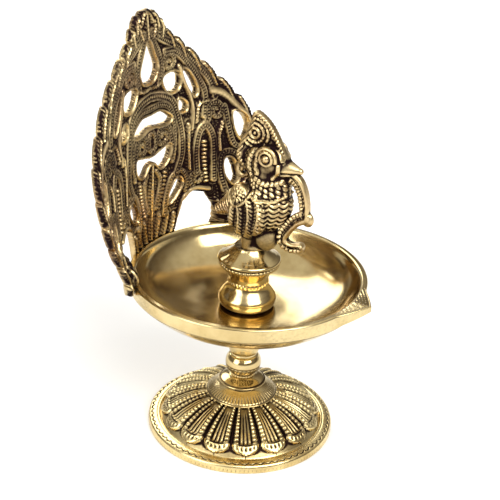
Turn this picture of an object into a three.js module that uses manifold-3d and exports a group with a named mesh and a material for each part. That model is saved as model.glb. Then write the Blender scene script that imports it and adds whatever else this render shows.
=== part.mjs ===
// Brass standing oil lamp (samai): foot, stem, bowl with a spout, a peacock on a post and a curved
// openwork tail plate behind it. Millimetres, +Z up, the spout points along -Y, the plate stands at +Y.
// The origin is the centre of the foot's resting ring.
import * as THREE from 'three';
import { mergeVertices } from 'three/addons/utils/BufferGeometryUtils.js';
import Module from 'manifold-3d';

const wasm = await Module();
wasm.setup();

// ---------------------------------------------------------------- driving dimensions
const TURN_SEGMENTS = 48; // facets round the large turned parts
const SMALL_SEGMENTS = 28; // facets round the small turned parts
const ROD_SEGMENTS = 20;

const FOOT_R = 38;
const FOOT_REST_R = 33.5; // inside of the ring that the lamp stands on
const FOOT_TOP_Z = 14.4;
const FOOT_CEILING_Z = 11.4; // flat face under the foot that the washer bears on
const PETALS = 16;
const PETAL_R = 23.2; // distance of a petal's middle from the axis
const PETAL_Z = 10.7;
const PETAL_HALF = [9.3, 3.7, 1.9]; // half length, half width, half height
const PETAL_TILT = 0.43; // radians, the slope of the dome

const COLLAR_R = 14.5;
const COLLAR_TOP_Z = 20.2;
const DISC_R = 9.7;
const DISC_TOP_Z = 23;
const KNOP_R = 7.25;
const KNOP_TOP_Z = 33.7;

const ROD_R = 2.5;
const ROD_BOTTOM_Z = 5.6;
const ROD_TOP_Z = 45.8;
const THREAD_CLEARANCE = 0.09;
const ROD_BORE_R = 2.8; // plain clearance bore of the pieces that the rod holds together
const NUT_R = 4.6; // to the corners
const NUT_H = 3;
const WASHER_R = 7;
const WASHER_H = 1;

const BOWL_NECK_Z = 34;
const BOWL_NECK_R = 6.2;
const BOWL_R = 47;
const BOWL_RIM_Z = 70;
const BOWL_FLOOR_Z = 55.4;
const ROD_HOLE_TOP_Z = 46.5;
const STUD_HOLE_BOTTOM_Z = 48;
// Sections of the solid spout from its root in the rim to its tip: half width, y, bottom, top
const SPOUT_SECTIONS = [[11.5, -45.2, 64.8, 70], [5.2, -48.6, 66, 70.3], [1.2, -53.1, 68.2, 71]];

const SEAT_GAP = 0.3; // gap between a turning piece and the one it sits on
const POST_BOTTOM_Z = BOWL_FLOOR_Z + SEAT_GAP;
const POST_TOP_Z = 75.2;
const POST_R = 12;
const CAP_R = 12.5;
const CAP_TOP_Z = 81.6;
const STUD_R = 2;
const STUD_BORE_R = 2.3;
const STUD_BOTTOM_Z = 48.3;
const STUD_TOP_Z = 88;

const PLINTH_R = 5.8;
const PLINTH_H = 2.8;
const CREST_HALF = 1.9; // half the crest's thickness
const CREEPER_R = 2;
// Outline of the crest as [y, z], from the forehead over the tip to the back of the head
const CREST = [[-13.8, 120.4], [-10.6, 126.6], [-6.2, 132.8], [-1.2, 136.4], [1.4, 136.2],
  [2.2, 132.4], [4.2, 127.6], [6.6, 122.6], [6.4, 117.4], [2, 113.5], [-6, 115], [-12, 117]];

const PLATE_THICKNESS = 3;
const PLATE_FOOT_Z = 65.5;
const PLATE_TIP_Z = 165.5;
const PLATE_LEAF_BULGE = 1.4; // how far each leaf of the border swells past the line of its ends
// Middle surface of the plate: y = middle(z) - bend(z) * x^2
const PLATE_MIDDLE = [[60, 47], [112, 47.3], [138, 49.5], [154, 50.2], [166, 51.6]];
const PLATE_BEND = [[60, 0.0111], [70, 0.0111], [76, 0.0098], [83, 0.008], [90, 0.0067], [100, 0.0057],
  [110, 0.0049], [122, 0.004], [140, 0.0033], [170, 0.0033]];
// Tips between the leaves of the border, from the wing's foot to the top, as [x, z]
const PLATE_BORDER = [[38, PLATE_FOOT_Z], [43, 73], [47.5, 82], [52, 91], [55.5, 100.5], [56, 111],
  [50.4, 121], [42.4, 129.6], [34, 138], [25.6, 145.2], [18, 151], [11.6, 155.8], [5.8, 160.2],
  [0, PLATE_TIP_Z]];

// ---------------------------------------------------------------- solids
// Welds a closed geometry, drops its zero-area faces and turns it to face outwards.
function weld(geometry) {
  const bare = geometry.clone();
  bare.deleteAttribute('normal');
  bare.deleteAttribute('uv');
  const merged = mergeVertices(bare, 1e-4);
  const p = merged.getAttribute('position');
  const index = merged.getIndex().array;
  const faces = [];
  let volume = 0;
  const [a, b, c] = [new THREE.Vector3(), new THREE.Vector3(), new THREE.Vector3()];
  for (let i = 0; i < index.length; i += 3) {
    const [i0, i1, i2] = [index[i], index[i + 1], index[i + 2]];
    if (i0 === i1 || i1 === i2 || i2 === i0) continue;
    a.fromBufferAttribute(p, i0);
    b.fromBufferAttribute(p, i1);
    c.fromBufferAttribute(p, i2);
    volume += a.dot(b.cross(c)) / 6;
    faces.push(i0, i1, i2);
  }
  if (volume < 0) {
    for (let i = 0; i < faces.length; i += 3) [faces[i], faces[i + 1]] = [faces[i + 1], faces[i]];
  }
  return new wasm.Manifold(new wasm.Mesh({
    numProp: 3,
    vertProperties: new Float32Array(p.array),
    triVerts: new Uint32Array(faces),
  }));
}

function toGeometry(manifold) {
  const mesh = manifold.getMesh();
  const geometry = new THREE.BufferGeometry();
  geometry.setAttribute('position', new THREE.BufferAttribute(mesh.vertProperties, 3));
  geometry.setIndex(new THREE.BufferAttribute(mesh.triVerts, 1));
  geometry.computeVertexNormals();
  return geometry;
}

// A profile of [radius, height] points turned about the Z axis.
function turned(profile, segments) {
  const points = profile.map(([r, z]) => new THREE.Vector2(r, z));
  points.push(points[0].clone());
  return weld(new THREE.LatheGeometry(points, segments).rotateX(Math.PI / 2));
}

function rod(radius, bottom, top, segments = ROD_SEGMENTS) {
  return turned([[0, bottom], [radius, bottom], [radius, top], [0, top]], segments);
}

// An ellipsoid in the lamp's frame: `at` is [x, y, z], `half` its half sizes, `tilt` turns it about X.
function ellipsoid(at, half, tilt = 0, across = 14, down = 9) {
  const geometry = new THREE.SphereGeometry(1, across, down);
  geometry.scale(...half).rotateX(tilt).translate(...at);
  return weld(geometry);
}

// A bar that tapers from radius r0 at `from` to r1 at `to`.
function taper(from, to, r0, r1, segments = 12) {
  const start = new THREE.Vector3(...from);
  const run = new THREE.Vector3(...to).sub(start);
  const geometry = new THREE.CylinderGeometry(r1, r0, run.length(), segments);
  geometry.translate(0, run.length() / 2, 0);
  geometry.applyQuaternion(new THREE.Quaternion().setFromUnitVectors(
    new THREE.Vector3(0, 1, 0), run.normalize()));
  return weld(geometry.translate(...from));
}

// A round bar along a smooth curve through the points.
function bar(points, radius, steps, sides = 8) {
  const curve = new THREE.CatmullRomCurve3(points.map((q) => new THREE.Vector3(...q)));
  const section = new THREE.Shape();
  section.absarc(0, 0, radius, 0, 2 * Math.PI);
  return weld(new THREE.ExtrudeGeometry(section, {
    steps, curveSegments: sides / 2, bevelEnabled: false, extrudePath: curve,
  }));
}

function union(parts) {
  return parts.reduce((whole, part) => whole.add(part));
}

// ---------------------------------------------------------------- foot and stem
function foot() {
  const shell = turned([
    [ROD_BORE_R, FOOT_TOP_Z], [ROD_BORE_R, FOOT_CEILING_Z], [13, FOOT_CEILING_Z], [20, 9.4],
    [26, 6.4], [30.5, 3], [32.4, 1.2], [FOOT_REST_R, 0], [FOOT_R - 0.6, 0], [FOOT_R, 0.6],
    [FOOT_R, 2.8], [FOOT_R - 0.8, 3.6], [33.6, 3.9], [33, 3.7], [32.4, 5.2], [30, 7.3], [26, 9.9],
    [20.5, 12.4], [15, 13.9], [13, FOOT_TOP_Z],
  ], TURN_SEGMENTS);
  const petals = [];
  for (let i = 0; i < PETALS; i += 1) {
    const petal = new THREE.SphereGeometry(1, 10, 6);
    petal.scale(...PETAL_HALF).rotateY(PETAL_TILT).translate(PETAL_R, 0, PETAL_Z);
    petals.push(weld(petal.rotateZ((i + 0.5) * 2 * Math.PI / PETALS)));
  }
  return shell.add(union(petals));
}

function collar() {
  return turned([
    [ROD_BORE_R, FOOT_TOP_Z], [12.8, FOOT_TOP_Z], [14.1, 15], [COLLAR_R, 15.6], [13.9, 16.3],
    [11.4, 18], [9.2, 19.4], [8.6, COLLAR_TOP_Z], [ROD_BORE_R, COLLAR_TOP_Z],
  ], SMALL_SEGMENTS);
}

function stemDisc() {
  return turned([
    [ROD_BORE_R, COLLAR_TOP_Z], [9.2, COLLAR_TOP_Z], [DISC_R, 20.5], [DISC_R, 21], [9.1, 21.3],
    [6.3, 22.2], [5.1, DISC_TOP_Z], [ROD_BORE_R, DISC_TOP_Z],
  ], SMALL_SEGMENTS);
}

function stemKnop() {
  return turned([
    [ROD_BORE_R, DISC_TOP_Z], [4.5, DISC_TOP_Z], [5, 23.6], [4.6, 24.2], [5.4, 24.9], [6.7, 26.4],
    [KNOP_R, 28.6], [6.9, 30.7], [5.8, 32.5], [5.2, KNOP_TOP_Z], [ROD_BORE_R, KNOP_TOP_Z],
  ], SMALL_SEGMENTS);
}

function washer() {
  const top = FOOT_CEILING_Z;
  return turned([[ROD_BORE_R, top - WASHER_H], [WASHER_R, top - WASHER_H], [WASHER_R, top],
    [ROD_BORE_R, top]], ROD_SEGMENTS);
}

function nut() {
  const top = FOOT_CEILING_Z - WASHER_H;
  const body = rod(NUT_R, top - NUT_H, top, 6);
  return body.subtract(rod(ROD_R + THREAD_CLEARANCE, top - NUT_H - 1, top + 1));
}

// ---------------------------------------------------------------- bowl
// The piece of the spout between two of its sections.
function spout(...sections) {
  return wasm.Manifold.hull(sections.flatMap(([halfWidth, y, bottom, top]) => [
    [-halfWidth, y, bottom], [halfWidth, y, bottom], [-halfWidth, y, top], [halfWidth, y, top],
  ]));
}

function bowl() {
  const hole = ROD_R + THREAD_CLEARANCE;
  const socket = STUD_R + THREAD_CLEARANCE;
  const dish = turned([
    [0, ROD_HOLE_TOP_Z], [hole, ROD_HOLE_TOP_Z], [hole, BOWL_NECK_Z], [BOWL_NECK_R - 0.4, BOWL_NECK_Z],
    [BOWL_NECK_R, 34.6], [BOWL_NECK_R, 44], [7.4, 47], [11, 49], [18, 50.2], [25, 51.5], [33, 54],
    [39, 57.4], [43.4, 60.8], [46, 63.6], [BOWL_R - 0.3, 64.2], [BOWL_R, 65], [BOWL_R, 69.3],
    [BOWL_R - 0.7, BOWL_RIM_Z], [45, BOWL_RIM_Z], [44.2, 69.2], [42.4, 65.4], [38.6, 61.6], [33, 58.4],
    [26, 56.4], [18, 55.6], [12, BOWL_FLOOR_Z], [socket, BOWL_FLOOR_Z], [socket, STUD_HOLE_BOTTOM_Z],
    [0, STUD_HOLE_BOTTOM_Z],
  ], TURN_SEGMENTS);
  const [root, middle, tip] = SPOUT_SECTIONS;
  return union([dish, spout(root, middle), spout(middle, tip)]);
}

// ---------------------------------------------------------------- post and bird
function post() {
  return turned([
    [STUD_BORE_R, POST_BOTTOM_Z], [9.8, POST_BOTTOM_Z], [10.6, 56.6], [11.4, 58.3], [11.2, 60],
    [9.8, 62.1], [8.2, 64.3], [7.7, 66.4], [8.3, 69], [10, 71.8], [11.6, 73.4], [POST_R, 74.3],
    [11.6, POST_TOP_Z], [STUD_BORE_R, POST_TOP_Z],
  ], SMALL_SEGMENTS);
}

function postCap() {
  return turned([
    [STUD_BORE_R, POST_TOP_Z], [12.1, POST_TOP_Z], [CAP_R, 75.6], [CAP_R, 76.3], [11.9, 76.8],
    [9, 78.6], [6.6, 80.4], [6, CAP_TOP_Z], [STUD_BORE_R, CAP_TOP_Z],
  ], SMALL_SEGMENTS);
}

// A plate in the mirror plane, bounded by a smooth closed line through the [y, z] points.
function crestPlate(points, halfThickness) {
  const plate = new THREE.ExtrudeGeometry(spline(points), {
    depth: 2 * halfThickness, bevelEnabled: false, curveSegments: 2,
  });
  plate.rotateX(Math.PI / 2).rotateZ(Math.PI / 2); // drawn [x, y] becomes [y, z]
  return weld(plate.translate(-halfThickness, 0, 0));
}

function peacock() {
  const parts = [
    rod(PLINTH_R, CAP_TOP_Z, CAP_TOP_Z + PLINTH_H, 20),
    ellipsoid([0, -3, 88], [5.6, 6.5, 6]), // thighs and the root of the belly
    ellipsoid([0, -6.4, 87.4], [4.8, 5.4, 5.7]),
    ellipsoid([0, -1.5, 98], [7.6, 12.6, 9.4]),
    ellipsoid([0, -7.6, 102], [7.4, 8.8, 10]), // breast
    ellipsoid([0, -9.2, 109], [4.9, 6.2, 7.5]), // throat
    taper([0, 7, 98.5], [0, 15.5, 92.6], 4.4, 1.6), // short rear feathers
    taper([0, -4.6, 104], [0, -5.2, 116], 6.9, 5.4),
    ellipsoid([0, -1.2, 117.4], [4.7, 5.6, 6.2]), // back of the head
    ellipsoid([0, -7.2, 118.6], [5.5, 7.6, 6.4]), // head
    taper([0, -12, 117], [0, -20.5, 117.1], 4.4, 0.8, 10),
    crestPlate(CREST, CREST_HALF),
    bar([[0, -15.4, 114.6], [0, -18.6, 112.6], [0, -20.8, 108.8], [0, -21.9, 104.6], [0, -22.3, 101],
      [0, -22, 98.6]], CREEPER_R, 8, 10),
    bar([[0, -22.4, 99.6], [0, -18.8, 97], [0, -15.6, 92.8], [0, -13.8, 89.2], [0, -14.6, 86.5],
      [0, -17.8, 85.5], [0, -21.3, 86.2]], CREEPER_R - 0.3, 10, 10),
    ellipsoid([0, -23.9, 98.6], [1.7, 2.4, 2.9]), // the creeper's leaf
  ];
  for (const side of [-1, 1]) {
    parts.push(ellipsoid([side * 6.6, -1.4, 97.6], [3.2, 8.2, 8.8])); // folded wing
    parts.push(ellipsoid([side * 5.2, 1.8, 104.6], [3.2, 4.4, 4])); // the wing's shoulder
    parts.push(ellipsoid([side * 4.8, -6.8, 120.6], [1.7, 2.4, 2.4], 0, 10, 6)); // eye
  }
  const socket = rod(STUD_R + THREAD_CLEARANCE, CAP_TOP_Z - 1, STUD_TOP_Z + 0.5);
  return union(parts).subtract(socket);
}

// ---------------------------------------------------------------- tail plate
function between(table, at) {
  let i = 0;
  while (i < table.length - 2 && table[i + 1][0] < at) i += 1;
  const [[x0, y0], [x1, y1]] = [table[i], table[i + 1]];
  return y0 + (y1 - y0) * Math.min(1, Math.max(0, (at - x0) / (x1 - x0)));
}

const plateY = (x, z) => between(PLATE_MIDDLE, z) - between(PLATE_BEND, z) * x * x;

// The point of the plate above [x, z] that lies `offset` in front of its middle surface.
function platePoint(x, z, offset) {
  const step = 0.5;
  const dx = (plateY(x + step, z) - plateY(x - step, z)) / (2 * step);
  const dz = (plateY(x, z + step) - plateY(x, z - step)) / (2 * step);
  const normal = new THREE.Vector3(dx, -1, dz).normalize().multiplyScalar(offset);
  return [x + normal.x, plateY(x, z) + normal.y, z + normal.z];
}

// The whole curved sheet, larger than the plate all round.
function plateSheet() {
  const [columns, rows, halfWidth, low, high] = [24, 12, 66, 58, 172];
  const positions = [];
  const faces = [];
  for (const offset of [PLATE_THICKNESS / 2, -PLATE_THICKNESS / 2]) {
    for (let j = 0; j <= rows; j += 1) {
      for (let i = 0; i <= columns; i += 1) {
        const x = halfWidth * (2 * i / columns - 1);
        positions.push(...platePoint(x, low + (high - low) * j / rows, offset));
      }
    }
  }
  const layer = (columns + 1) * (rows + 1);
  const at = (i, j, k) => k * layer + j * (columns + 1) + i;
  const quad = (a, b, c, d) => faces.push(a, b, c, a, c, d);
  for (let j = 0; j < rows; j += 1) {
    for (let i = 0; i < columns; i += 1) {
      quad(at(i, j, 0), at(i + 1, j, 0), at(i + 1, j + 1, 0), at(i, j + 1, 0));
      quad(at(i, j, 1), at(i, j + 1, 1), at(i + 1, j + 1, 1), at(i + 1, j, 1));
    }
    quad(at(0, j, 0), at(0, j + 1, 0), at(0, j + 1, 1), at(0, j, 1));
    quad(at(columns, j, 0), at(columns, j, 1), at(columns, j + 1, 1), at(columns, j + 1, 0));
  }
  for (let i = 0; i < columns; i += 1) {
    quad(at(i, 0, 0), at(i, 0, 1), at(i + 1, 0, 1), at(i + 1, 0, 0));
    quad(at(i, rows, 0), at(i + 1, rows, 0), at(i + 1, rows, 1), at(i, rows, 1));
  }
  const geometry = new THREE.BufferGeometry();
  geometry.setAttribute('position', new THREE.Float32BufferAttribute(positions, 3));
  geometry.setIndex(faces);
  return weld(geometry);
}

// A hole or outline drawn in [x, z], cut right through along Y. `side` mirrors it.
function prism(shape, side = 1) {
  const depth = 80;
  const geometry = new THREE.ExtrudeGeometry(shape, { depth, bevelEnabled: false, curveSegments: 3 });
  geometry.rotateX(Math.PI / 2).scale(side, 1, 1).translate(0, depth - 5, 0);
  return weld(geometry);
}

function spline(points) {
  const shape = new THREE.Shape();
  const curve = new THREE.CatmullRomCurve3(points.map(([x, z]) => new THREE.Vector3(x, z, 0)), true);
  const outline = curve.getPoints(points.length * 2).slice(0, -1);
  return shape.setFromPoints(outline.map((p) => new THREE.Vector2(p.x, p.y)));
}

// Right half of the plate's outline; the left half is its mirror image.
function halfOutline() {
  const shape = new THREE.Shape();
  shape.moveTo(-1, PLATE_FOOT_Z);
  shape.lineTo(13, PLATE_FOOT_Z);
  shape.quadraticCurveTo(14.6, 70, 16, 75);
  shape.quadraticCurveTo(18.4, 83.6, 24.6, 84.6);
  shape.quadraticCurveTo(33, 84, 33.4, 77);
  shape.quadraticCurveTo(33, 71, 30, PLATE_FOOT_Z);
  shape.lineTo(...PLATE_BORDER[0]);
  for (let i = 1; i < PLATE_BORDER.length; i += 1) {
    const [x0, z0] = PLATE_BORDER[i - 1];
    const [x1, z1] = PLATE_BORDER[i];
    const length = Math.hypot(x1 - x0, z1 - z0);
    const outX = (z1 - z0) / length * PLATE_LEAF_BULGE;
    const outZ = -(x1 - x0) / length * PLATE_LEAF_BULGE;
    shape.quadraticCurveTo((x0 + x1) / 2 + outX, (z0 + z1) / 2 + outZ, x1, z1);
  }
  shape.lineTo(-1, PLATE_TIP_Z);
  return shape;
}

// Openings of the right half, mirrored to the left.
const SIDE_OPENINGS = {
  upper: [[9.4, 136.4], [14.4, 137.6], [19.4, 136], [19, 130.8], [14.4, 129.8], [11, 132]],
  slit: [[21.8, 137.2], [25.8, 134.6], [29.2, 128], [27.9, 125.2], [24.2, 130.4]],
  shoulder: [[18.6, 125.6], [22.6, 123.2], [22, 120.4], [18.4, 121.2]],
  wing: [[46.8, 114.4], [51.2, 112.6], [52.4, 107.4], [49.4, 102.4], [46.6, 107.6]],
  heel: [[40.4, 95], [43.6, 94.4], [44.6, 88], [42.4, 84.8], [40, 89]],
  root: [[16.6, 92.6], [18.8, 90], [15.6, 85.4], [11.4, 83], [12.2, 87.6]],
};
const MIDDLE_OPENINGS = {
  teardrop: [[0, 153.6], [3.4, 148], [5.7, 142.4], [3.8, 138], [0, 137], [-3.8, 138],
    [-5.7, 142.4], [-3.4, 148]],
  crescent: [[0, 123.6], [7, 123.6], [13, 120], [12, 118.4], [7, 118.2], [0, 119.4], [-7, 118.2],
    [-12, 118.4], [-13, 120], [-7, 123.6]],
  yoke: [[0, 106.4], [6, 107.6], [12, 108.6], [11, 103], [6.4, 100.4], [2.6, 103.6], [0, 104.4],
    [-2.6, 103.6], [-6.4, 100.4], [-11, 103], [-12, 108.6], [-6, 107.6]],
};

function tailFan() {
  const outline = prism(halfOutline()).add(prism(halfOutline(), -1));
  let plate = plateSheet().intersect(outline);
  for (const points of Object.values(MIDDLE_OPENINGS)) plate = plate.subtract(prism(spline(points)));
  for (const points of Object.values(SIDE_OPENINGS)) {
    for (const side of [-1, 1]) plate = plate.subtract(prism(spline(points), side));
  }
  const rimSeat = rod(BOWL_R + SEAT_GAP, 55, BOWL_RIM_Z + SEAT_GAP, TURN_SEGMENTS);
  return plate.subtract(rimSeat);
}

// ---------------------------------------------------------------- assembly
const POLISHED = { color: 0xd8ae5a, roughness: 0.22, metalness: 1 };
const ANTIQUE = { color: 0x8f6c37, roughness: 0.42, metalness: 1 };
const PLAIN = { color: 0xb58e47, roughness: 0.5, metalness: 1 };

function part(name, solid, finish) {
  const mesh = new THREE.Mesh(toGeometry(solid), new THREE.MeshStandardMaterial(finish));
  mesh.name = name;
  return mesh;
}

function group(name, ...children) {
  const made = new THREE.Group();
  made.name = name;
  made.add(...children);
  return made;
}

const lamp = group('lamp',
  group('base_group',
    part('foot', foot(), ANTIQUE),
    part('foot_washer', washer(), PLAIN),
    part('foot_nut', nut(), PLAIN),
    part('tie_rod', rod(ROD_R, ROD_BOTTOM_Z, ROD_TOP_Z), PLAIN),
    part('collar', collar(), POLISHED),
    part('stem_disc', stemDisc(), POLISHED),
    part('stem_knop', stemKnop(), POLISHED)),
  group('bowl_group',
    part('bowl', bowl(), POLISHED),
    part('tail_fan', tailFan(), ANTIQUE)),
  group('figure_group',
    part('pedestal', post(), POLISHED),
    part('pedestal_cap', postCap(), POLISHED),
    part('figure_stud', rod(STUD_R, STUD_BOTTOM_Z, STUD_TOP_Z), PLAIN),
    part('peacock', peacock(), ANTIQUE)));

export default lamp;
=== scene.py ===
"""Looks for the brass oil lamp: turned brass, a petalled foot, a feathered bird and an openwork plate.

Shapes are worked out in millimetres in the lamp's own frame (+Z up, spout along -Y, plate at +Y) and
turned into metres when a mesh is made. `clean` is 0 in a recess full of old patina and 1 on bare metal;
it is also lowered for painted shade at the joints of the turned parts and under the bowl's rim, and for a
painted darker reflection in and round the bowl.
"""

import math

import bmesh
import bpy
import numpy as np
from mathutils import Matrix, Vector


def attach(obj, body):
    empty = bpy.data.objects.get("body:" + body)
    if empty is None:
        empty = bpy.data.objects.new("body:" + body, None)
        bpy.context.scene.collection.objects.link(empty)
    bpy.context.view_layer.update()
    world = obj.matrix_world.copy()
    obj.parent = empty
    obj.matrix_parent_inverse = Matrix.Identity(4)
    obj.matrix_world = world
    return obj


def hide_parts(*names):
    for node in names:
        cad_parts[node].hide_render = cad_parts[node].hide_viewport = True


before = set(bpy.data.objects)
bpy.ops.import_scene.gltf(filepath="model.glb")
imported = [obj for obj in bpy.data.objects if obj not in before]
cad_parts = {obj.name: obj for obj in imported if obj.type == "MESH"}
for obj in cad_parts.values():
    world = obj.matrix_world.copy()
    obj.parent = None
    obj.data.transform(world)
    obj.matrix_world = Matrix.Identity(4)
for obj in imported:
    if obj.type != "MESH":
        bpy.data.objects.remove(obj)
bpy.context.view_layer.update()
MM = 0.001
TAU = 2 * math.pi


# ---------- small tools
def spans(p, per):
    """Catmull-Rom points between each two inner points of p, with `per` steps a span."""
    t = np.linspace(0, 1, per, endpoint=False)[:, None]
    return np.vstack([0.5 * (2 * b + (c - a) * t + (2 * a - 5 * b + 4 * c - d) * t**2
                             + (3 * b - a - 3 * c + d) * t**3)
                      for a, b, c, d in zip(p[:-3], p[1:-2], p[2:-1], p[3:])])


def smooth_curve(points, per=8):
    """A smooth curve through the points, ends included."""
    p = np.asarray(points, float)
    return np.vstack([spans(np.vstack([2 * p[0] - p[1], p, 2 * p[-1] - p[-2]]), per), p[-1:]])


def smooth_loop(points, per=8):
    """A smooth closed curve through the points."""
    p = np.asarray(points, float)
    return spans(np.vstack([p[-1:], p, p[:2]]), per)


def even_steps(points, step):
    """The polyline resampled to steps of about that length, keeping its ends."""
    p = np.asarray(points, float)
    run = np.concatenate([[0], np.cumsum(np.linalg.norm(np.diff(p, axis=0), axis=1))])
    count = max(2, int(round(run[-1] / step)) + 1)
    at = np.linspace(0, run[-1], count)
    return np.stack([np.interp(at, run, p[:, k]) for k in range(p.shape[1])], -1)


def curl(x, z, outer, inner, start, turns):
    """Points of a spiral about (x, z). It starts at angle `start` degrees, anticlockwise if turns > 0."""
    t = np.linspace(0, 1, max(4, int(abs(turns) * 9)))
    angle = math.radians(start) + turns * TAU * t
    radius = outer + (inner - outer) * t
    return np.stack([x + radius * np.cos(angle), z + radius * np.sin(angle)], -1)


def step_up(value, low, high):
    """A smooth rise from 0 at `low` to 1 at `high`."""
    t = np.clip((value - low) / (high - low), 0, 1)
    return t * t * (3 - 2 * t)


def blur(values, cells):
    """Mean over a square or a cube that reaches `cells` to each side."""
    for axis in range(values.ndim):
        v = np.moveaxis(values, axis, 0)
        run = np.cumsum(np.concatenate([v[:1].repeat(cells + 1, 0), v, v[-1:].repeat(cells, 0)]),
                        axis=0, dtype=float)
        values = np.moveaxis((run[2 * cells + 1:] - run[:-2 * cells - 1]) / (2 * cells + 1), 0, axis)
    return values


def add_object(name, data):
    """A new object in the scene."""
    item = bpy.data.objects.new(name, data)
    bpy.context.collection.objects.link(item)
    return item


def make_piece(name, verts, faces, clean, material, body, nodes, crease=50):
    """A mesh piece from millimetre points, riding on a body and standing for CAD nodes."""
    mesh = bpy.data.meshes.new(name)
    mesh.from_pydata((np.asarray(verts) * MM).tolist(), [], np.asarray(faces).tolist())
    layer = mesh.attributes.new("clean", "FLOAT", "POINT")
    layer.data.foreach_set("value", clean.astype(np.float32))
    weld_and_face_out(mesh)
    mesh.materials.append(material)
    mesh.shade_smooth()
    mesh.set_sharp_from_angle(angle=math.radians(crease))
    piece = add_object(name, mesh)
    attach(piece, body)
    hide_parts(*nodes)


def weld_and_face_out(mesh):
    """Joins doubled points, drops faces with no area and turns the rest outwards."""
    bm = bmesh.new()
    bm.from_mesh(mesh)
    bmesh.ops.remove_doubles(bm, verts=bm.verts, dist=0.002 * MM)
    bmesh.ops.dissolve_degenerate(bm, edges=bm.edges, dist=0.001 * MM)
    bmesh.ops.recalc_face_normals(bm, faces=bm.faces)
    bm.to_mesh(mesh)
    bm.free()


# ---------- materials
CLOUDS, STAINS, SPECKS, GRAIN = 55, 34, 900, 2600  # noise scales, in waves to the metre
PATINA_ROUGHNESS = 0.62
GRAIN_DEPTH = 0.0001


def node_maker(owner):
    """Empties the nodes of a material or world, and gives a function that adds one.

    Inputs are values or other nodes' sockets.
    """
    owner.use_nodes = True
    nodes, links = owner.node_tree.nodes, owner.node_tree.links
    nodes.clear()

    def add(kind, inputs=None, **settings):
        node = nodes.new("ShaderNode" + kind)
        for key, value in settings.items():
            setattr(node, key, value)
        for key, value in (inputs or {}).items():
            if isinstance(value, bpy.types.NodeSocket):
                links.new(value, node.inputs[key])
            else:
                node.inputs[key].default_value = value
        return node

    return add


def fill_ramp(node, stops):
    """Gives a colour ramp its stops, each a position and a colour."""
    while len(node.color_ramp.elements) < len(stops):
        node.color_ramp.elements.new(0.5)
    for element, (position, colour) in zip(node.color_ramp.elements, stops):
        element.position = position
        element.color = (*colour, 1)
    return node.outputs["Color"]


def new_material(name):
    """An empty node material, its node maker and the socket that gives the place on the object."""
    material = bpy.data.materials.new(name)
    add = node_maker(material)
    return material, add, add("TexCoord").outputs["Object"]


def noise(add, place, scale, detail, roughness=0.5):
    """Noise from 0 to 1. scale is in waves to the metre."""
    return add("TexNoise", {"Vector": place, "Scale": scale, "Detail": detail,
                            "Roughness": roughness}).outputs["Fac"]


def patina_and_shade_mask(add, place, bare):
    """Black where patina covers the metal and where shade is painted, white where it is bare, with ragged
    edges.
    """
    clean = add("Attribute", attribute_name="clean").outputs["Fac"] if bare is None else bare
    for scale, detail, amount in ((SPECKS, 3, 0.34), (STAINS, 2, 0.7)):
        shift = add("Math", {0: noise(add, place, scale, detail), 1: amount, 2: -amount / 2},
                    operation="MULTIPLY_ADD").outputs[0]
        clean = add("Math", {0: clean, 1: shift}, operation="ADD").outputs[0]
    return fill_ramp(add("ValToRGB", {"Fac": clean}), [(0.12, (0, 0, 0)), (0.68, (1, 1, 1))])


def brass(name, bright, warm, dark, gloss, scratch, bare=None):
    """Brass whose recesses hold dark patina, also dark where the mesh carries painted shade. gloss is the
    roughness of clean metal, scratch its bump.

    bare says how clean the metal is all over. Without it each point of the mesh has its own value.
    """
    material, add, place = new_material(name)
    clouds = noise(add, place, CLOUDS, 5, 0.6)
    metal = fill_ramp(add("ValToRGB", {"Fac": clouds}), [(0.3, warm), (0.62, bright)])
    mask = patina_and_shade_mask(add, place, bare)
    colour = add("MixRGB", {"Fac": mask, "Color1": (*dark, 1), "Color2": metal}).outputs[0]
    grime = add("MapRange", {"Value": mask, "To Min": PATINA_ROUGHNESS, "To Max": gloss}).outputs[0]
    patchy = add("MapRange", {"Value": clouds, "From Min": 0.3, "From Max": 0.7, "To Min": -0.05,
                              "To Max": 0.07}).outputs[0]
    rough = add("Math", {0: grime, 1: patchy}, operation="ADD", use_clamp=True).outputs[0]
    bump = add("Bump", {"Strength": scratch, "Distance": GRAIN_DEPTH,
                        "Height": noise(add, place, GRAIN, 2)}).outputs["Normal"]
    shader = add("BsdfPrincipled", {"Base Color": colour, "Metallic": 1, "Roughness": rough,
                                    "Normal": bump})
    add("OutputMaterial", {"Surface": shader.outputs["BSDF"]})
    return material


POLISHED = brass("polished_brass", (0.72, 0.57, 0.29), (0.50, 0.36, 0.15), (0.06, 0.035, 0.015), 0.15, 0.05)
ANTIQUE = brass("antique_brass", (0.84, 0.68, 0.34), (0.52, 0.37, 0.15), (0.022, 0.011, 0.008), 0.24, 0.25)
AGED = brass("aged_brass", (0.80, 0.62, 0.31), (0.32, 0.19, 0.095), (0.020, 0.010, 0.010), 0.28, 0.3)
PLAIN = brass("plain_brass", (0.66, 0.50, 0.21), (0.50, 0.36, 0.14), (0.06, 0.04, 0.02), 0.38, 0.3, 0.62)


# ---------- turned pieces
def profile_points(runs, step):
    """The runs of [radius, height] points joined at their corners.

    A run of two points is straight, a longer list is a smooth curve, and an array is used as it is.
    """
    rows = [even_steps(smooth_curve(run), step) if isinstance(run, list) and len(run) > 2
            else np.asarray(run, float) for run in runs]
    return np.vstack([rows[0]] + [row[1:] for row in rows[1:]])


def outward(profile):
    """The side of the profile that faces out of the metal, when it runs up the outside."""
    run = np.gradient(profile, axis=0)
    normal = np.stack([run[:, 1], -run[:, 0]], -1)
    return normal / np.maximum(np.linalg.norm(normal, axis=1, keepdims=True), 1e-9)


def bored(hole, *runs):
    """A ring's section: the runs of its outside, two flat ends and a round hole."""
    (r0, z0), (r1, z1) = runs[0][0], runs[-1][-1]
    return [[[hole, z0], [r0, z0]], *runs, [[r1, z1], [hole, z1]], [[hole, z1], [hole, z0]]]


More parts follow.
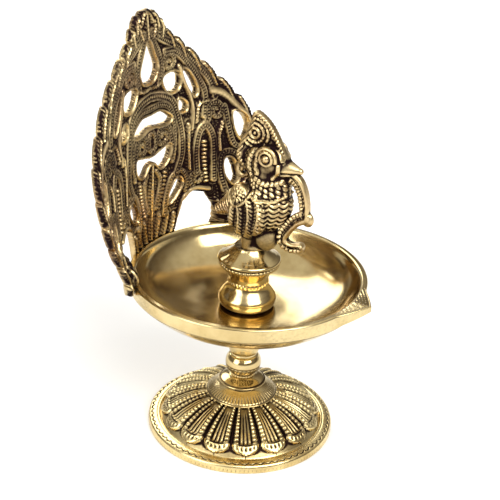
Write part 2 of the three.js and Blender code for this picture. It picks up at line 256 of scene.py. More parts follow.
def turned(name, runs, columns, body, nodes, relief, step, material=POLISHED):
    """A lathe piece. relief(angle, radius, height) gives what stands proud, and how clean it is."""
    profile = profile_points(runs, step)
    normal = outward(profile)
    angle = np.linspace(0, TAU, columns, endpoint=False)
    a, r = np.meshgrid(angle, profile[:, 0])
    z = np.meshgrid(angle, profile[:, 1])[1]
    proud, clean = relief(a, r, z)
    r = np.maximum(r + proud * normal[:, :1], 0)
    z = z + proud * normal[:, 1:]
    verts = np.stack([r * np.cos(a), r * np.sin(a), z], -1).reshape(-1, 3)
    make_piece(name, verts, round_faces(len(profile), columns), clean.ravel(), material, body, nodes)


def round_faces(rows, columns):
    """Quads of a grid of points, stored row by row, whose last column joins its first."""
    index = np.arange(rows * columns).reshape(rows, columns)
    right = np.roll(index, -1, axis=1)
    return np.stack([index[:-1], right[:-1], right[1:], index[1:]], -1).reshape(-1, 4)


def beads(angle, count):
    """A row of round beads about the axis, from 0 between two to 1 on top of one."""
    return band(2 * ((angle * count / TAU) % 1) - 1, 0, 1)


def band(value, middle, half):
    """1 at `middle`, falling roundly to 0 at `half` to either side."""
    return np.sqrt(np.maximum(0, 1 - ((value - middle) / half) ** 2))


ROD_HOLE = 2.8  # radius of the hole for the rod in foot, collar, disc and knop
STUD_HOLE = 2.3  # the same for the stud in post and cap
PETALS, COLUMNS_PER_PETAL = 16, 36
PETAL_INNER, PETAL_OUTER = 13.5, 32.2  # radii between which the petals lie
FLUTED = 0.52  # how much of a petal's half width its fluted middle takes
LIP = 0.86  # how far along the petal its plain lip starts


def petal_place(angle, radius):
    """Where a point lies on its petal.

    across goes from -1 to 1 over the petal's sector, side from 0 on its middle to 1 on its outline, t from
    0 at its root to 1 at its tip, and arc does the same along lines that bend like the tip.
    """
    across = 2 * ((angle * PETALS / TAU) % 1) - 1
    t = np.clip((radius - PETAL_INNER) / (PETAL_OUTER - PETAL_INNER), 0, 1.2)
    end = np.clip((t - 0.8) / 0.2, 0, 1)
    side = np.abs(across) / (0.94 * np.maximum(1 - end**2.6, 1e-4) ** 0.42)
    return across, side, t, t + 0.055 * np.clip(side, 0, 1) ** 2


def foot_relief(angle, radius, height):
    """Petals with a fluted middle, a row of beads down each side and dots on their lips."""
    across, side, t, arc = petal_place(angle, radius)
    top = (height > 3.4) & (radius > PETAL_INNER - 1)
    body = np.sqrt(np.clip(1 - side**5, 0, 1)) * (t < 1) * (t > 0)
    before_lip = step_up(LIP - arc, 0, 0.03)
    flutes = np.cos(across * TAU * 3.5) * (side < 0.5) * step_up(t, 0.1, 0.3) * before_lip
    pearl = np.abs(np.sin(radius * math.pi / 1.5))
    row = band(side, 0.71, 0.19) * pearl * step_up(LIP + 0.02 - arc, 0, 0.03)
    dots = band(arc, 0.925, 0.026) * np.abs(np.cos(across * TAU * 1.75)) ** 2.5 * (side < 0.86)
    dip = 0.6 * (side < FLUTED) * before_lip
    proud = top * (1.35 * body + 0.2 * flutes + 0.6 * row - dip * body - 0.4 * dots - 0.25)
    middle = step_up(FLUTED - side, 0, 0.05) * 0.4 * (1 + flutes) * step_up(LIP + 0.01 - arc, 0, 0.02)
    face = np.where(side < FLUTED, middle, 0.12 + 0.9 * row) + 0.9 * step_up(arc, 0.87, 0.9) - 0.95 * dots
    ground = 0.02 + np.clip(step_up(side, 1.1, 1.7) * 0.45 + 0.8 * step_up(t, 1.02, 1.06), 0, 0.75)
    clean = np.where(top, np.where(body > 0.15, face, ground), 1)
    return edge_engraving(angle, radius, height, proud, clean)


def edge_engraving(angle, radius, height, proud, clean):
    """A line of small scallops cut into the flat flange, a fine ring inside it and ticks on the edge."""
    wave = 35.9 + 0.8 * np.abs(np.sin(angle * 36))
    cut = band(radius, wave, 0.34) + 0.5 * band(radius, 34.3, 0.25)
    flange = (height > 3) & (radius > PETAL_OUTER + 1)
    ticks = (height < 2.6) & (height > 0.5) & (radius > 37.4)
    tick = np.maximum(0, np.cos(angle * 144)) * band(height, 1.3, 0.9)
    proud = np.where(flange, -0.18 * cut, np.where(ticks, -0.08 * tick, proud))
    clean = np.where(flange, 0.95 - 0.95 * np.clip(cut, 0, 1), np.where(ticks, 1 - 0.6 * tick, clean))
    return proud, clean


def make_foot():
    """The hollow dome and its flange, from the underside out and back over the top."""
    inside = [[13, 11.4], [20, 9.4], [26, 6.4], [30.5, 3], [33.5, 0]]
    flange = [[37, 3.6], [35.4, 3.9], [33.6, 3.95]]
    runs = bored(
        ROD_HOLE,
        even_steps(smooth_curve(inside), 1.5),
        [[33.5, 0], [37.4, 0]],
        [[37.4, 0], [37.85, 0.3], [38, 1], [37.95, 2.4], [37.6, 3.2], [37, 3.6]],
        even_steps(smooth_curve(flange), 0.12),
        [[33.6, 3.95], [33, 3.7], [32.4, 4.4]],
        [[32.4, 4.4], [30, 7], [26, 9.8], [20.5, 12.4], [15, 13.9], [13, 14.1]])
    turned("foot_petals", runs, PETALS * COLUMNS_PER_PETAL, "base", ["foot"], foot_relief, 0.34, ANTIQUE)


def collar_relief(angle, radius, height):
    """Fine strokes up the cone, and painted shade at the joints above and below it."""
    strokes = np.maximum(0, np.cos(angle * 60) - 0.2) / 0.8
    cone = step_up(height, 16.1, 16.5) * step_up(19.4 - height, 0, 2.4)
    line = band(height, 16, 0.2) * (radius > 12)
    # painted shade: nearly black where the collar meets the foot below and the disc above
    seam_shade_and_cut_line = (height < 15.1) | (height > 19.9)
    clean = np.where(seam_shade_and_cut_line, 0.02, 0.95 - 0.9 * strokes * cone - 0.8 * line)
    return -0.15 * (strokes * cone + line), clean


def disc_relief(angle, radius, height):
    """Painted shade under the disc where it sits on the collar, and a line round its cone."""
    line = band(height, 21.25, 0.22) * (radius > 6)
    # painted shade: nearly black below the disc's lower edge
    return -0.1 * line, np.where(height < 20.42, 0.02, 0.95 - 0.8 * line)


def knop_relief(angle, radius, height):
    """A beaded ring at the knop's foot, a punched band over it and a cut line round its middle."""
    ring = band(height, 23.6, 0.55) * (radius > 4)
    pearl = beads(angle, 26)
    seam_shade_and_cut_line = band(height, 28.1, 0.3) * (radius > 5) + band(height, 24.35, 0.25)
    punched = step_up(height, 24.6, 24.9) * step_up(27.9 - height, 0, 0.3) * (radius > 4)
    dots = punched * np.maximum(0, np.cos(angle * 26 + height * 2.4) * np.cos(height * TAU / 1.5)) ** 0.7
    proud = 0.38 * ring * pearl - 0.14 * dots - 0.16 * seam_shade_and_cut_line
    return proud, 1 - 0.85 * np.clip(ring * (1 - pearl) + seam_shade_and_cut_line + 0.9 * dots + 0.4 * punched, 0, 1)


def make_stem():
    """Collar, disc and knop, one on top of the other."""
    turned("collar_cone", bored(
        ROD_HOLE,
        [[12.6, 14.4], [14.1, 14.9], [14.5, 15.5], [14.2, 15.95]],
        [[14.2, 15.95], [11.6, 17.9], [9.4, 19.35], [8.5, 20.2]]), 720, "base", ["collar"],
        collar_relief, 0.3)
    turned("stem_disc_turned", bored(
        ROD_HOLE,
        [[9, 20.2], [9.55, 20.4], [9.7, 20.75], [9.5, 21.1]],
        [[9.5, 21.1], [7.6, 21.8], [6, 22.4], [5.1, 23]]), 128, "base", ["stem_disc"], disc_relief, 0.3)
    turned("stem_knop_turned", bored(
        ROD_HOLE,
        [[4.5, 23], [4.8, 23.6], [4.5, 24.2]],
        [[4.5, 24.2], [5.4, 24.9], [6.7, 26.3], [7.25, 28.5], [6.95, 30.7], [5.9, 32.4]],
        [[5.9, 32.4], [5.2, 32.9], [5.2, 33.7]]), 208, "base", ["stem_knop"], knop_relief, 0.25)


def post_relief(angle, radius, height):
    """The beaded rings at the top of the post and at its waist, and painted shade at its foot where it
    stands in the bowl.
    """
    top, pearl = band(height, 74.1, 0.8) * (radius > 9), beads(angle, 44)
    waist, small = band(height, 66.3, 0.85) * (radius > 5), beads(angle, 30) ** 1.5
    # painted shade: darker at the post's foot, where it meets the bowl
    seam_shade_and_cut_line = step_up(56.9 - height, 0, 0.5) * (radius > 9)
    proud = 0.42 * top * pearl + 0.5 * waist * small
    return proud, np.clip(1 - 0.8 * top * (1 - pearl) - 0.75 * waist * (1 - small) - 0.9 * seam_shade_and_cut_line, 0, 1)


def cap_relief(angle, radius, height):
    """Faint flats on the cap's cone, and painted shade under its disc and round its top, where it meets the
    post and the bird.
    """
    cone = step_up(height, 77.4, 77.8) * (radius > 5)
    flat = np.abs(np.cos(angle * 6))
    # painted shade: dark under the cap's disc and round its top
    seam_shade_and_cut_line = (height < 75.5) + 0.8 * step_up(height, 80.9, 81.5)
    return 0.07 * cone * flat, np.clip(1 - 0.12 * cone * (1 - flat) - 0.9 * seam_shade_and_cut_line, 0, 1)


def make_post():
    """The waisted post that stands in the bowl, and the cap on it."""
    turned("post_turned", bored(
        STUD_HOLE,
        [[9.6, 55.7], [10.7, 56.5], [11.35, 58.1], [11.25, 60], [9.9, 62.1], [8.3, 64.3], [7.75, 66.3],
         [8.3, 69], [9.9, 71.6], [11.2, 73]],
        [[11.2, 73], [11.55, 73.6], [11.6, 74.2], [11.2, 74.9]]), 352, "figure", ["pedestal"],
        post_relief, 0.3)
    turned("cap_turned", bored(
        STUD_HOLE,
        [[11.9, 75.2], [12.4, 75.45], [12.5, 76], [12.2, 76.6]],
        [[12.2, 76.6], [9.2, 78.3], [7, 80.1], [5.8, 81.6]]), 180, "figure", ["pedestal_cap"],
        cap_relief, 0.3)


# ---------- bowl
BOWL_R, RIM_Z, SPOUT_TIP = 47, 70, 53.1
RIM_TOP = RIM_Z - 0.25  # points above this lie on the rim's top face
NECK_HOLE, SOCKET = 2.59, 2.09  # radii of the holes for the rod and for the stud
BOWL_COLUMNS = 720
SPOUT_SPREAD = math.radians(16.5)
SPOUT_RISE = 1  # how much higher its top is at the tip
SPOUT_THINNING = 3.8  # how much higher its underside is there


def spout_reach(off):
    """How far the lip stands out past the rim at an angle from its middle."""
    return (SPOUT_TIP - BOWL_R) * np.clip(1 - np.abs(off) / SPOUT_SPREAD, 0, 1) ** 1.25


def bowl_profile():
    """The bowl's section as [radius, height] points, from under its neck round the rim to its middle."""
    outside = profile_points([
        [[NECK_HOLE, 46.5], [NECK_HOLE, 34]], [[NECK_HOLE, 34], [5.8, 34]],
        [[5.8, 34], [6.2, 34.5], [6.2, 35.2]],
        [[6.2, 35.2], [6.2, 44]],
        [[6.2, 44], [6.9, 46.6], [11, 49], [18, 50.3], [25, 51.6], [33, 54.2], [39, 57.5], [43.6, 61.2],
         [45.8, 63.4]],
    ], 1.2)
    wall = profile_points([[[45.8, 63.4], [46.1, 63.7], [46, 64]], [[46, 64], [46.7, 64.4]],
                           [[46.7, 64.4], [47, 65.2], [47, 69.2], [46.7, 69.8]]], 0.35)
    top = even_steps([[46.7, 69.8], [46.3, 70], [44.9, 70]], 0.08)
    inside = profile_points([
        [[44.9, 70], [44.3, 69.6], [43.6, 68]],
        [[43.6, 68], [42.2, 65.2], [38.6, 61.4], [33, 58.4], [26, 56.4], [18, 55.6], [12, 55.4],
         [SOCKET, 55.4]],
        [[SOCKET, 55.4], [SOCKET, 48]], [[SOCKET, 48], [0, 48]],
    ], 1.2)
    return np.vstack([[[0, 46.5]], outside, wall[1:], top[1:], inside[1:]])


def make_bowl():
    """A dish whose rim runs out into a solid lip. The lip rises and gets thinner towards its tip."""
    profile = bowl_profile()
    a, r = np.meshgrid(np.linspace(0, TAU, BOWL_COLUMNS, endpoint=False), profile[:, 0])
    z = np.repeat(profile[:, 1:], BOWL_COLUMNS, axis=1)
    off = np.angle(np.exp(1j * (a + math.pi / 2)))
    reach = spout_reach(off)
    across_top = np.clip((46.7 - r) / 1.8, 0, 1) * (z > RIM_TOP)
    out = r + reach * step_up(z, 64.2, 64.9) * step_up(r, 45.6, 46.6) * (1 - across_top)
    share = reach / (SPOUT_TIP - BOWL_R) * np.where(across_top > 0, 1 - across_top, step_up(r, 45.9, 46.6))
    from_rim = np.clip((RIM_Z - z) / 5.6, 0, 1)
    lifted = z + share * (SPOUT_RISE + (SPOUT_THINNING - SPOUT_RISE) * from_rim)
    sink, dirty = lip_engraving(off, out, reach, z)
    verts = np.stack([out * np.cos(a), out * np.sin(a), lifted - sink], -1).reshape(-1, 3)
    # painted shade: a dark line under the step below the rim
    seam_shade_and_cut_line = 0.75 * band(z, 63.9, 0.35) * (r > 44)
    # lowered by painted shade under the rim and a painted darker reflection in and round the bowl, besides
    # the dirt in the lip's engraving
    clean = np.clip(1 - dirty - seam_shade_and_cut_line - bowl_painted_dark_reflection(r, z), 0, 1)
    faces = round_faces(len(profile), BOWL_COLUMNS)
    make_piece("bowl_dish", verts, faces, clean.ravel(), POLISHED, "dish", ["bowl"])


def bowl_painted_dark_reflection(r, z):
    """Painted darker reflection: the bowl's inside and the band round its edge are browner than the rest.
    """
    inside = (z > 55) & (r < 45) & (z < 69.7)
    edge_band = step_up(z, 64.3, 65) * step_up(69.7 - z, 0, 0.4) * (r > 45.9)
    return 0.22 * inside + 0.3 * edge_band


def lip_engraving(off, r, reach, z):
    """Dotted rows along the edges of the lip's flat top. Gives their depth and how dirty they are."""
    from_edge = BOWL_R + reach - r
    top = (z > RIM_TOP) & (np.abs(off) < SPOUT_SPREAD) & (r > 45.3) & (from_edge > 0.5)
    rows = np.maximum(0, np.cos((from_edge - 0.9) * TAU / 1.3)) ** 0.7
    dots = np.maximum(0, np.cos(off * BOWL_R * TAU / 1.5 + from_edge * 2))
    cut = top * rows * np.where(from_edge < 1.5, 0.9, 0.35 + 0.65 * dots)
    return 0.16 * cut, 0.85 * cut


# ---------- tail plate
PLATE_CELL = 0.4
PLATE_BACK = 1.5  # from the middle of the sheet to its back
# At each height, where the sheet's middle lies on the axis of symmetry, and how strongly it bends forwards
PLATE_MIDDLE = [(60, 47), (112, 47.3), (138, 49.5), (154, 50.2), (166, 51.6)]
PLATE_BEND = [(60, 0.0111), (70, 0.0111), (76, 0.0098), (83, 0.008), (90, 0.0067), (100, 0.0057),
              (110, 0.0049), (122, 0.004), (140, 0.0033), (170, 0.0033)]
# Points (x, z) of the right half: tips of the leafy outer edge, and the inner edge with its arch
PLATE_BORDER = [(38, 65.5), (43, 73), (47.5, 82), (52, 91), (55.5, 100.5), (56, 111), (50.4, 121),
                (42.4, 129.6), (34, 138), (25.6, 145.2), (18.4, 151), (12.4, 155.2), (9.6, 160.4),
                (4.8, 164), (0, 165.3)]
PLATE_INSIDE = [(0, 65.5), (13, 65.5), (14.3, 69), (16, 75), (18.8, 81.8), (24.6, 84.6), (31, 82.6),
                (33.4, 77), (32.4, 71), (30, 65.5)]
OPENINGS = {  # a list that starts on the axis gives the right half of its opening
    "teardrop": [(0, 153.6), (3.4, 148), (5.7, 142.4), (3.8, 138), (0, 137)],
    "crescent": [(0, 123.6), (7, 123.6), (13, 120), (12, 118.4), (7, 118.2), (0, 119.4)],
    "yoke": [(0, 106.4), (6, 107.6), (12, 108.6), (11, 103), (6.4, 100.4), (2.6, 103.6), (0, 104.4)],
    "upper": [(9.4, 136.4), (14.4, 137.6), (19.4, 136), (19, 130.8), (14.4, 129.8), (11, 132)],
    "slit": [(21.8, 137.2), (25.8, 134.6), (29.2, 128), (27.9, 125.2), (24.2, 130.4)],
    "shoulder": [(18.6, 125.6), (22.6, 123.2), (22, 120.4), (18.4, 121.2)],
    "wing": [(46.8, 114.4), (51.2, 112.6), (52.4, 107.4), (49.4, 102.4), (46.6, 107.6)],
    "heel": [(40.4, 95), (43.6, 94.4), (44.6, 88), (42.4, 84.8), (40, 89)],
    "root": [(16.6, 92.6), (18.8, 90), (15.6, 85.4), (11.4, 83), (12.2, 87.6)],
}
# Raised ornament of the right half: kind, half width at the start and at the end, points
ORNAMENT = [
    ("leaf", 2.8, 1.6, [(0, 65), (0, 74), (0, 83)]),
    ("leaf", 2.2, 1.6, [(2, 65), (4, 73), (5.6, 80)]),
    ("leaf", 2.4, 1.6, [(5, 65), (8.6, 72), (10.4, 79)]),
    ("leaf", 2.4, 1.2, [(9, 65), (12.4, 71), (14.2, 77.5)]),
    ("bead", 1.3, 1.3, [(4.4, 82), (6.6, 88), (8.2, 94), (9.2, 98.6)]),
    ("leaf", 3.6, 1.4, [(0, 84), (0, 92), (0, 103)]),
    ("rib", 1.9, 1.1, [(2.8, 84), (5.2, 90), (5.6, 96), (3.2, 99.8)]),
    ("rib", 2.2, 1, np.vstack([[(13.4, 108.5)], curl(7.6, 113.2, 4.9, 1, -10, 1.5)])),
    ("rib", 1.4, 1.2, [(0, 108.6), (2.2, 111), (2, 115), (0, 118)]),
    ("rib", 2.7, 2.2, [(0, 131.4), (7.4, 130), (14.2, 126), (17.4, 118), (18.8, 110), (18.6, 102),
                       (15.4, 95)]),
    ("rib", 1.8, 1.3, [(0, 126.8), (7, 126.6), (12.6, 123.6), (14.6, 117.4), (14.8, 109), (13.4, 101)]),
    ("leaf", 1.9, 0.8, [(0, 135), (4.6, 134.4), (8, 136.2)]),
    ("rib", 1.7, 1.5, [(6.8, 135.6), (8.2, 142), (6.2, 148.6), (1.8, 155.4)]),
    ("rib", 1.8, 1, np.vstack([[(8.6, 138.6)], curl(13.4, 142, 4.4, 0.8, 190, -1.45)])),
    ("rib", 2.2, 1.8, [(11, 147), (17, 146), (23.4, 140.6), (30, 132.4), (33.4, 124.6), (32, 116)]),
    ("rib", 2.4, 2, [(3, 156.6), (10.6, 152), (19.6, 147), (28.4, 139), (36, 130.6), (38.6, 122.8)]),
    ("leaf", 2.4, 1, [(0, 154.6), (0, 159), (0, 164.8)]),
    ("leaf", 2, 0.9, [(3.6, 155), (5, 158.6), (4.6, 161.4)]),
    ("rib", 1.5, 0.9, curl(9.4, 155.2, 2.6, 0.7, 200, -1.3)),
    ("plain", 1.5, 1.1, [(19.6, 139), (21.6, 132.6), (24.4, 127), (26, 120), (24.6, 112)]),
    ("leaf", 2.6, 1.6, [(22.8, 95), (22.4, 105), (23.2, 114)]),
    ("rib", 2.3, 1.8, [(26.6, 92.5), (26.6, 102), (28.6, 109.4), (32.6, 111.6), (35.4, 106), (35.2, 96),
                       (34.4, 88)]),
    ("bead", 1.3, 1.3, [(30.8, 87), (30.8, 96), (31.4, 105.6)]),
    ("leaf", 2.2, 1.2, [(27.4, 115), (29.6, 121), (35, 121.6)]),
    ("rib", 2, 1.1, np.vstack([[(33, 113.4)], curl(38.2, 116.6, 4.4, 1, 200, -1.4)])),
    ("plain", 2.6, 2, [(37.4, 125.6), (43, 123), (48, 117.8), (52.2, 111.6), (53, 104.5)]),
    ("rib", 1.9, 1.5, [(42.6, 117.6), (43.2, 109.6), (45, 101.2), (49.4, 98.8)]),
    ("leaf", 2.3, 1.2, [(38.2, 99.6), (38.4, 106), (40.8, 111)]),
    ("rib", 2, 1.5, [(38.2, 82.6), (37.6, 90), (39, 97.6), (43.4, 98.2), (46.8, 94.6), (47.2, 88)]),
    ("rib", 1.7, 0.8, curl(26.6, 90, 3.7, 0.7, 230, -1.4)),
    ("plain", 1.3, 1.2, [(14.6, 68), (16.6, 76), (19.8, 83.4), (25, 86), (31.6, 84.2)]),
    ("plain", 2, 1.7, [(54, 101), (50.2, 91), (45.6, 82), (41.2, 73), (37.4, 66)]),
    ("leaf", 2.4, 1.8, [(38.4, 82), (37.6, 77), (36.4, 72)]),
    ("rib", 1.9, 1, curl(33.8, 72.6, 3.8, 0.8, 60, -1.3)),
    ("rib", 1.8, 1.3, [(8.8, 79), (9.8, 87), (13, 94), (18.4, 95.6), (21.6, 91), (20.8, 86)]),
]
ECHO_PITCH = 1.3
ECHO_REACH = 6.5
CROWN = 2  # how far the tops of the ornament stand from the middle of the sheet
GROUND = 0.05  # the same for the sunk ground between them
EDGE_ROUNDING = 0.7
BACK_CLEAN = 0.62
RIM_GAP = 0.35


def soft_table(table, reach=7):
    """The table at every quarter of a millimetre, smoothed over `reach` millimetres to each side."""
    at = np.arange(table[0][0], table[-1][0], 0.25)
    values = np.interp(at, *np.array(table).T)
    weights = np.hanning(reach * 8 + 1)
    padded = np.pad(values, reach * 4, mode="reflect", reflect_type="odd")
    return at, np.convolve(padded, weights / weights.sum(), mode="valid")


MIDDLE_CURVE, BEND_CURVE = soft_table(PLATE_MIDDLE), soft_table(PLATE_BEND)


def plate_y(x, z):
    """Where the middle of the bent sheet lies."""
    return np.interp(z, *MIDDLE_CURVE) - np.interp(z, *BEND_CURVE) * x * x


def plate_slope(x, z):
    """How much longer the way through the sheet is along Y than square to it."""
    return np.sqrt(1 + (2 * np.interp(z, *BEND_CURVE) * x) ** 2)


def border_spans():
    """Start, run, outward normal and length of each stretch between two tips of the border."""
    for start, end in zip(np.array(PLATE_BORDER[:-1]), np.array(PLATE_BORDER[1:])):
        run = end - start
        length = math.hypot(*run)
        yield start, run, np.array([run[1], -run[0]]) / length, length


def leafy_border():
    """The plate's outline with a hooked lobe between each two tips, right half from the foot upwards."""
    lobe = ((0, -0.9), (0.2, 0.5), (0.5, 1.15), (0.8, 1.2), (0.97, 0.55))
    points = [start + share * run + swell * out * min(1, length / 7)
              for start, run, out, length in border_spans() for share, swell in lobe]
    return smooth_curve(points + [PLATE_BORDER[-1]], 4)


def from_segment(x, z, start, end):
    """Distance of grid points from a straight line, and how far along it (0 to 1) they lie."""
    (x0, z0), (dx, dz) = start, np.subtract(end, start)
    t = np.clip(((x - x0) * dx + (z - z0) * dz) / max(dx * dx + dz * dz, 1e-12), 0, 1)
    return np.hypot(x - x0 - t * dx, z - z0 - t * dz), t


def outline_distance(points, x, z):
    """Signed distance of grid points from a closed outline, negative inside."""
    nearest, inside = np.full(x.shape, 1e9), np.zeros(x.shape, bool)
    for start, end in zip(points, np.roll(points, -1, axis=0)):
        nearest = np.minimum(nearest, from_segment(x, z, start, end)[0])
        (x0, z0), (x1, z1) = start, end
        if z1 != z0:
            inside ^= ((z0 > z) != (z1 > z)) & (x < (x1 - x0) * (z - z0) / (z1 - z0) + x0)
    return np.where(inside, -nearest, nearest)


def stroke_distance(points, x, z):
    """Distance of grid points from a curve, how far along it (0 to 1) they lie, and its length."""
    nearest, along, done = np.full(x.shape, 1e9), np.zeros(x.shape), 0
    for start, end in zip(points[:-1], points[1:]):
        length = math.hypot(*np.subtract(end, start))
        d, t = from_segment(x, z, start, end)
        closer = d < nearest
        nearest[closer] = d[closer]
        along[closer] = (done + t * length)[closer]
        done += length
    return nearest, along / done, done


def ornament_height(kind, u, along, length):
    """Height of one raised stroke, from 0 to 1. u is 0 on its middle and 1 on its edge."""
    crown = band(u, 0, 1)
    if kind == "plain":
        return crown * 0.92
    if kind == "bead":
        return crown * (0.25 + 0.75 * np.abs(np.sin(along * length * math.pi / 1.7)))
    if kind == "leaf":
        veins = 0.5 + 0.5 * np.cos(TAU * (along * length / 1.5 - u * 0.9))
        return crown * (0.8 - 0.3 * veins * (u > 0.16)) + 0.16 * (u < 0.16)
    notches = 0.5 + 0.5 * np.cos(TAU * along * length / 1.25)
    rails = np.exp(-((u - 0.66) / 0.2) ** 2)
    return crown * (0.55 + 0.42 * rails) + 0.3 * notches * np.exp(-((u / 0.33) ** 2))


def window(x, z, low, high):
    """The part of the grid that lies between two corners."""
    cols = np.where((x[0] >= low[0]) & (x[0] <= high[0]))[0]
    rows = np.where((z[:, 0] >= low[1]) & (z[:, 0] <= high[1]))[0]
    return np.s_[rows[0]:rows[-1] + 1, cols[0]:cols[-1] + 1]


def lay_stroke(height, x, z, kind, start, end, points, echo=None):
    """Adds one stroke of the ornament where it stands above what is already there.

    echo, if given, holds the distance to the nearest stroke and the place along it, for the fine lines
    that follow the strokes over the ground.
    """
    line = smooth_curve(points, 6)
    reach = max(start, end) + (0.2 if echo is None else ECHO_REACH)
    part = window(x, z, line.min(0) - reach, line.max(0) + reach)
    d, along, length = stroke_distance(line, x[part], z[part])
    wide = start + (end - start) * along
    u = d / wide
    if echo is not None:
        closer = d - wide < echo[0][part]
        echo[0][part] = np.where(closer, d - wide, echo[0][part])
        echo[1][part] = np.where(closer, along * length, echo[1][part])
    h = np.where(u < 1, ornament_height(kind, np.minimum(u, 1), along, length), 0)
    height[part] = np.maximum(height[part], h)


def border_leaves():
    """A small veined leaf in each lobe of the border."""
    return [("leaf", 1.3, min(2.4, length / 4),
             [start - 3.6 * out, start + 0.5 * run - 1.2 * out, start + 0.92 * run - 0.5 * out])
            for start, run, out, length in border_spans()]


def plate_relief():
    """Grid of the right half: positions, signed distance from the metal's edge, height of the relief."""
    x, z = np.meshgrid(np.arange(0, 58.01, PLATE_CELL), np.arange(65.2, 165.6, PLATE_CELL))
    outline = np.vstack([[(-9, 65.5)], PLATE_INSIDE, leafy_border(), [(-9, 165.3)]])
    edge = outline_distance(outline, x, z)
    height = np.zeros_like(x)
    rim = np.zeros_like(x)
    for points in OPENINGS.values():
        left = [(-across, up) for across, up in points[-2:0:-1]] if points[0][0] == 0 else []
        d = outline_distance(smooth_loop(points + left, 6), x, z)
        edge = np.maximum(edge, -d)
        rim = np.maximum(rim, 0.8 * band(d, 0.65, 0.75) * (d > 0))
    echo = [np.full_like(x, ECHO_REACH), np.zeros_like(x)]
    for stroke in ORNAMENT + border_leaves():
        lay_stroke(height, x, z, *stroke, echo)
    return x, z, edge, np.maximum.reduce([height, rim, echo_lines(*echo)])


def echo_lines(gap, along):
    """Fine notched ribs that follow the strokes over the ground between them."""
    rib = np.sqrt(np.abs(np.sin(gap * math.pi / ECHO_PITCH)))
    notch = 0.5 + 0.5 * np.cos(TAU * (along / 1.3 + gap * 0.45))
    return np.where((gap > 0) & (gap < ECHO_REACH), rib * (0.20 + 0.24 * notch), 0)


def snap_to_edge(x, z, edge):
    """Moves grid points that lie near the metal's edge onto it, so that the outline is smooth."""
    gz, gx = np.gradient(edge, PLATE_CELL)
    size = np.maximum(np.hypot(gx, gz), 0.3)
    near = np.abs(edge) < 0.62 * PLATE_CELL
    near[:, 0] = False
    x = np.where(near, x - edge * gx / size**2, x)
    z = np.where(near, z - edge * gz / size**2, z)
    return np.maximum(x, 0), z, near


def scroll_foot(x, z):
    """The bulge of the knob that each wing stands on."""
    return 4.2 * np.sqrt(np.clip(1 - ((x - 33.8) / 5) ** 2 - ((z - 74) / 5.8) ** 2, 0, 1))


def plate_sheets(x, z, edge, height):
    """Front and back of the right half: how far back each point lies, and how clean it is there."""
    depth = np.clip(-edge / EDGE_ROUNDING, 0, 1)
    rounding = np.sqrt(1 - (1 - depth) ** 2)
    middle, slope = plate_y(x, z), plate_slope(x, z)
    relief = (GROUND + (CROWN - GROUND) * np.clip(height, 0, 1.05)) * rounding - 0.35 * (1 - rounding)
    front = middle - slope * relief - scroll_foot(x, z) * rounding
    back = middle + slope * (PLATE_BACK - 0.45 * (1 - rounding))
    # lighter towards the lower middle of the plate
    lighter_low_middle = 0.16 * step_up(18 - x, 0, 5) * step_up(100 - z, 0, 12) + 0.08 * step_up(98 - z, 0, 10)
    rubbed = 0.4 * step_up(height, 0.76, 0.9)
    clean = np.clip(0.22 * height + 2.1 * (height - blur(height, 3)) + lighter_low_middle + rubbed, 0, 1)
    return (front, clean), (back, np.full_like(x, BACK_CLEAN))


def mirrored_shell(x, z, sheets, quads):
    """Points, cleanness and faces of both halves, front and back, with walls along their edges."""
    verts, shade, faces = [], [], []
    for number, (sign, (y, clean)) in enumerate((sign, sheet) for sign in (1, -1) for sheet in sheets):
        verts.append(np.stack([sign * x, y, z], -1).reshape(-1, 3))
        shade.append(clean.ravel())
        layer = quads + number * x.size
        faces.append(layer if number in (0, 3) else layer[:, ::-1])
    walls = boundary_edges(quads)
    on_axis = (np.abs(x.ravel()[walls]) < 1e-6).all(axis=1)
    a, b = walls[~on_axis].T
    wall = np.stack([b, a, a + x.size, b + x.size], -1)
    faces += [wall, (wall + 2 * x.size)[:, ::-1]]
    return np.vstack(verts), np.concatenate(shade), np.vstack(faces)


def make_plate():
    """The relief sheet with its openings. Its left half is the mirror image of its right half."""
    x, z, edge, height = plate_relief()
    x, z, on_edge = snap_to_edge(x, z, edge)
    solid = (edge <= 0) | on_edge
    keep = solid[:-1, :-1] & solid[1:, :-1] & solid[:-1, 1:] & solid[1:, 1:]
    index = np.arange(x.size).reshape(x.shape)
    quads = np.stack([index[:-1, :-1], index[:-1, 1:], index[1:, 1:], index[1:, :-1]], -1)[keep]
    verts, shade, faces = mirrored_shell(x, z, plate_sheets(x, z, edge, height), quads)
    used, faces = np.unique(faces, return_inverse=True)
    verts = clear_of_rim(verts[used])
    make_piece("tail_plate", verts, faces.reshape(-1, 4), shade[used], AGED, "dish",
               ["tail_fan"], 60)


def boundary_edges(quads):
    """Directed edges that only one quad has."""
    edges = np.vstack([quads[:, [k, (k + 1) % 4]] for k in range(4)])
    key = np.sort(edges, axis=1)
    _, first, times = np.unique(key, axis=0, return_index=True, return_counts=True)
    return edges[first[times == 1]]


def clear_of_rim(verts):
    """Lifts what would lie in the bowl onto its rim, and keeps the wings' feet just outside it."""
    r = np.hypot(verts[:, 0], verts[:, 1])
    low = (verts[:, 2] < RIM_Z + RIM_GAP) & (r < BOWL_R + RIM_GAP)
    deep = low & (r < BOWL_R - 0.6)
    verts[deep, 2] = RIM_Z + 0.3
    side = low & ~deep
    verts[side, :2] *= ((BOWL_R + RIM_GAP) / r[side])[:, None]
    return verts


